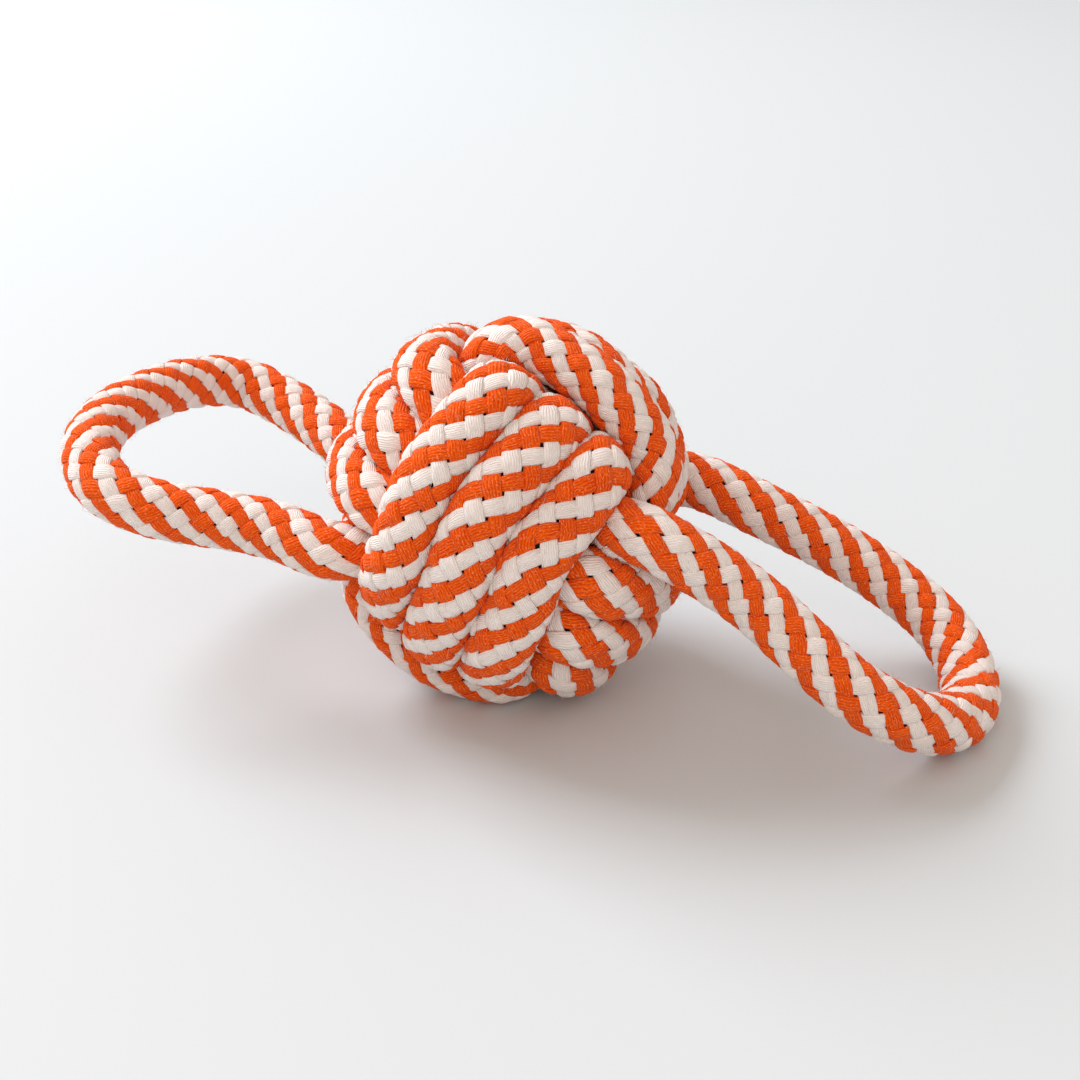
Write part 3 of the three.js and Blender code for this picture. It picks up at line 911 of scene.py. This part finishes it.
def pale_room():
    """The world: a warm, pale room lights the toy, and the eye and mirrors see a plain pale wall."""
    world = bpy.data.worlds.new("pale_room")
    world.use_nodes = True
    tree = world.node_tree
    tree.nodes.clear()
    room, wall = [
        add_node(
            tree, "ShaderNodeBackground", [("Color", opaque(linear(hex_code))), ("Strength", strength)]
        ).outputs[0]
        for hex_code, strength in ((ROOM_COLOUR, ROOM_STRENGTH), (WALL_COLOUR, WALL_STRENGTH))
    ]
    ray = add_node(tree, "ShaderNodeLightPath")
    seen = ray.outputs["Is Camera Ray"]
    for kind in ("Is Glossy Ray", "Is Transmission Ray"):
        seen = add_node(
            tree, "ShaderNodeMath", [(0, seen), (1, ray.outputs[kind])], operation="MAXIMUM"
        ).outputs[0]
    sky = add_node(tree, "ShaderNodeMixShader", [(0, seen), (1, room), (2, wall)])
    add_node(tree, "ShaderNodeOutputWorld", [("Surface", sky.outputs[0])])
    return world


def yarn_materials(context):
    """The two yarns, white first, made once."""
    made = [bpy.data.materials.get(name) for name in ("bleached_cotton_yarn", "orange_cotton_yarn")]
    if None not in made:
        return made
    held = context.scene.rope_colours
    white = (held.white_yarn, held.white_painted_shade, held.white_fibre, THREADS_OF_WHITE)
    orange = (held.orange_yarn, held.orange_painted_shade, held.orange_fibre_and_sheen, THREADS_OF_ORANGE)
    return [cotton_yarn("bleached_cotton_yarn", *white), cotton_yarn("orange_cotton_yarn", *orange)]


def filler_material(context):
    """The filler's material, made once."""
    return bpy.data.materials.get("filler_yarn_painted_shade") or filler_yarn(context.scene.rope_colours.filler)


def braid_rings(rope, sizes, rings_per_crossing, sides):
    """All sixteen strands of a braid, with 0 for each white strand and 1 for each orange one.

    Right-handed strands are white at even numbers and left-handed ones at odd numbers, so the stripes run
    to the right hand, one strand wide.
    """
    numbers = np.arange(STRANDS_PER_HAND)
    right, right_uv = strand_rings(rope, sizes, RIGHT_HAND, numbers, rings_per_crossing, sides)
    left, left_uv = strand_rings(rope, sizes, LEFT_HAND, numbers, rings_per_crossing, sides)
    colours = np.concatenate([numbers % 2, (numbers + 1) % 2])
    return np.concatenate([right, left]), np.concatenate([right_uv, left_uv]), colours


def skin_depth(sizes):
    """From the top of the strands down to the middle of the braid."""
    return (sizes.crossing_rise + sizes.strand_thickness / 2) / MM


class ROPETOY_OT_tie_ball(bpy.types.Operator):
    """Tie the monkey's fist ball from one length of braided rope"""

    bl_idname = "rope_toy.tie_ball"
    bl_label = "Tie the ball"

    def execute(self, context):
        sizes = context.scene.rope_sizes
        yarns = yarn_materials(context)
        knot = smooth_line(eased_path(), LINE_STEP)
        line = to_toy(knot)
        outward = (knot / lengths(knot)) @ np.linalg.inv(KNOT_TO_TOY).T
        depth = skin_depth(sizes)
        rope = rope_along(
            line, outward, sizes.turn_width / MM / 2 - depth, sizes.turn_thickness / MM / 2 - depth,
            sizes.ball_lay / MM, PRESSED_FULLNESS,
        )
        for hand, hand_name in ((RIGHT_HAND, "right_lay"), (LEFT_HAND, "left_lay")):
            for colour, colour_name in enumerate(("white", "orange")):
                first = colour if hand == RIGHT_HAND else 1 - colour
                numbers = np.arange(first, STRANDS_PER_HAND, 2)
                rings, uv = strand_rings(rope, sizes, hand, numbers, *BALL_STRAND_MESH)
                piece = tube_mesh(
                    f"ball_{colour_name}_strands_{hand_name}", pressed_on_table(rings), uv,
                    [yarns[colour]], np.zeros(len(numbers), int),
                )
                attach(piece, "fist")
                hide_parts("fist_winding")
        rings, uv = filler_rings(rope, BALL_FILLER_SIDES)
        core = tube_mesh("ball_rope_filler", pressed_on_table(rings), uv, [filler_material(context)], [0])
        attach(core, "fist")
        seen_from = BALL_RADIUS - HAIR_SEEN_DEPTH
        rings, uv, colours = hair_rings(rope, sizes, BALL_HAIRS, BALL_HAIR_SEED, seen_from)
        hairs = tube_mesh("ball_stray_hairs", pressed_on_table(rings), uv, yarns, colours)
        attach(hairs, "fist")
        return {"FINISHED"}


class ROPETOY_OT_braid_loops(bpy.types.Operator):
    """Braid the two loop handles, whose middle lines curve gently where they leave the ball"""

    bl_idname = "rope_toy.braid_loops"
    bl_label = "Braid the loops"

    def execute(self, context):
        sizes = context.scene.rope_sizes
        yarns = yarn_materials(context)
        rope_radius = sizes.diameter / MM / 2
        for side_name, right, route in (("left", -1, LEFT_ROUTE), ("right", 1, RIGHT_ROUTE)):
            corners = np.array([corner_axis(1, right), corner_axis(-1, right)])
            exits = to_toy(corners * PIVOT_RADIUS)
            tucked = to_toy(corners * (PIVOT_RADIUS - TUCKED_LENGTH))
            line = smooth_line(np.vstack([tucked[0], exits[0], route, exits[1], tucked[1]]), LINE_STEP)
            line = softened_ends(line, 2 * TUCKED_LENGTH)
            reached = reached_along(line)
            from_end = np.minimum(reached, reached[-1] - reached)
            share = RUN_RADIUS / rope_radius
            grown = smooth_step((from_end - TUCKED_MARGIN) / (TUCKED_LENGTH / 2))
            radius = rope_radius * (share + (1 - share) * grown)
            middle = np.mean(line, axis=0)
            spread = np.linalg.svd(line - middle)[2]
            half = radius - skin_depth(sizes)
            rope = rope_along(
                line, np.broadcast_to(spread[2], line.shape), half, half, sizes.loop_lay / MM
            )
            rings, uv, colours = braid_rings(rope, sizes, *LOOP_STRAND_MESH)
            braid = tube_mesh(f"{side_name}_loop_braid", pressed_on_table(rings), uv, yarns, colours)
            rings, uv = filler_rings(rope, LOOP_FILLER_SIDES)
            core = tube_mesh(
                f"{side_name}_loop_core", pressed_on_table(rings), uv, [filler_material(context)], [0]
            )
            rings, uv, colours = hair_rings(rope, sizes, LOOP_HAIRS, LOOP_HAIR_SEED + right)
            hairs = tube_mesh(f"{side_name}_loop_hairs", pressed_on_table(rings), uv, yarns, colours)
            for piece in (braid, core, hairs):
                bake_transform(piece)
            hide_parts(f"{side_name}_loop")
            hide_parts(f"{side_name}_loop_filler")
        return {"FINISHED"}


class ROPETOY_OT_fill_heart(bpy.types.Operator):
    """Run the handle rope through the heart of the ball and whip its join with twine"""

    bl_idname = "rope_toy.fill_heart"
    bl_label = "Fill the heart"

    def execute(self, context):
        sizes = context.scene.rope_sizes
        yarns = yarn_materials(context)
        reach = PIVOT_RADIUS - sizes.diameter / MM / 2
        half = RUN_RADIUS - skin_depth(sizes)
        for side_name, front, nodes in (
            ("front", 1, ["front_run"]), ("back", -1, ["back_run_left", "back_run_right"])
        ):
            stretches = []
            for right in (-1, 1):
                bend = heart_point(front, right * WHIPPING_LENGTH / 2)
                end = corner_axis(front, right) * reach
                stretches.append([bend, (bend + end) / 2, end])
            points = [*stretches[0][::-1], heart_point(front, 0), *stretches[1]]
            line = smooth_line(to_toy(points), LINE_STEP)
            rope = rope_along(line, np.broadcast_to(FRONT, line.shape), half, half, sizes.loop_lay / MM)
            rings, uv, colours = braid_rings(rope, sizes, *RUN_STRAND_MESH)
            braid = tube_mesh(f"{side_name}_run_braid", rings, uv, yarns, colours)
            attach(braid, "fist")
            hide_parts(*nodes)
        join, beyond = to_toy([heart_point(-1, 0), heart_point(-1, 1)])
        along_run = (beyond - join) / np.linalg.norm(beyond - join)
        half_length = (WHIPPING_LENGTH - WHIPPING_THICKNESS) / 2
        middle = join + np.linspace(-half_length, half_length, TWINE_RINGS)[:, None] * along_run
        radius = RUN_RADIUS + WHIPPING_GAP + WHIPPING_THICKNESS / 2
        sleeve = rope_along(middle, np.broadcast_to(FRONT, middle.shape), radius, radius)
        turns = TURN * np.linspace(0, WHIPPING_TURNS, TWINE_RINGS)
        wound = on_rope(sleeve, sleeve.reached, turns, 0)
        twine = rope_along(wound, wound - middle, WHIPPING_THICKNESS / 2, WHIPPING_THICKNESS / 2)
        turn = np.broadcast_to(TURN * np.arange(TWINE_SIDES) / TWINE_SIDES, (1, TWINE_RINGS, TWINE_SIDES))
        beside = np.broadcast_to(twine.reached[:, None], turn.shape)
        rings = on_rope(twine, beside, turn, 0)
        uv = np.stack([turn / TURN, beside], axis=-1)
        material = waxed_twine(context.scene.rope_colours.twine)
        whipping = tube_mesh("join_whipping_twine", rings, uv, [material], [0])
        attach(whipping, "fist")
        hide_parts("join_whipping")
        return {"FINISHED"}


class ROPETOY_OT_set_stage(bpy.types.Operator):
    """Lay the toy on a white table, with soft light and the camera of the photograph"""

    bl_idname = "rope_toy.set_stage"
    bl_label = "Set the stage"

    def execute(self, context):
        scene = context.scene
        scene.view_settings.view_transform = "Standard"
        scene.world = pale_room()
        mesh = bpy.data.meshes.new("table")
        signs = ((-1, -1), (1, -1), (1, 1), (-1, 1))
        corners = [(x * TABLE_HALF, y * TABLE_HALF, -TABLE_DROP) for x, y in signs]
        mesh.from_pydata(corners, [], [(0, 1, 2, 3)])
        mesh.materials.append(matt_white_laminate(scene.rope_colours.table))
        table = bpy.data.objects.new("table", mesh)
        scene.collection.objects.link(table)

        for name, place, size, energy, colour in LAMPS:
            lamp = bpy.data.lights.new(name, "AREA")
            lamp.size = size
            lamp.energy = energy
            lamp.color = linear(colour)
            light = bpy.data.objects.new(name, lamp)
            light.location = place
            pointing = Vector(AIM - np.array(place))
            light.rotation_euler = pointing.to_track_quat("-Z", "Y").to_euler()
            scene.collection.objects.link(light)

        back = np.array([
            math.sin(CAMERA_AZIMUTH) * math.cos(CAMERA_ELEVATION),
            -math.cos(CAMERA_AZIMUTH) * math.cos(CAMERA_ELEVATION),
            math.sin(CAMERA_ELEVATION),
        ])
        lens = bpy.data.cameras.new("photograph_camera")
        lens.sensor_width = SENSOR_WIDTH
        lens.lens = SENSOR_WIDTH * FOCAL_LENGTH / PICTURE_WIDTH
        lens.shift_x = PICTURE_SHIFT[0] / PICTURE_WIDTH
        lens.shift_y = PICTURE_SHIFT[1] / PICTURE_WIDTH
        lens.clip_start = CAMERA_NEAREST
        camera = bpy.data.objects.new("photograph_camera", lens)
        camera.location = AIM + CAMERA_DISTANCE * back
        camera.rotation_euler = Vector(-back).to_track_quat("-Z", "Y").to_euler()
        scene.collection.objects.link(camera)
        scene.camera = camera
        return {"FINISHED"}


class ROPETOY_PT_sidebar(bpy.types.Panel):
    """Lists the steps of the toy and their sizes"""

    bl_idname = "ROPETOY_PT_sidebar"
    bl_label = "Rope dog toy"
    bl_space_type = "VIEW_3D"
    bl_region_type = "UI"
    bl_category = "Rope toy"

    def draw(self, context):
        for settings in (context.scene.rope_sizes, context.scene.rope_colours):
            for name in settings.__annotations__:
                self.layout.prop(settings, name)
        for step in STEPS:
            self.layout.operator(step.bl_idname)


STEPS = (ROPETOY_OT_set_stage, ROPETOY_OT_braid_loops, ROPETOY_OT_tie_ball, ROPETOY_OT_fill_heart)
CLASSES = (RopeSizes, RopeColours, *STEPS, ROPETOY_PT_sidebar)


def register():
    for listed in CLASSES:
        bpy.utils.register_class(listed)
    bpy.types.Scene.rope_sizes = bpy.props.PointerProperty(type=RopeSizes)
    bpy.types.Scene.rope_colours = bpy.props.PointerProperty(type=RopeColours)


def unregister():
    del bpy.types.Scene.rope_colours
    del bpy.types.Scene.rope_sizes
    for listed in reversed(CLASSES):
        bpy.utils.unregister_class(listed)


def main():
    """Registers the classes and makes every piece."""
    register()
    bpy.ops.rope_toy.set_stage()
    bpy.ops.rope_toy.braid_loops()
    bpy.ops.rope_toy.tie_ball()
    bpy.ops.rope_toy.fill_heart()


if __name__ == "__main__":
    main()
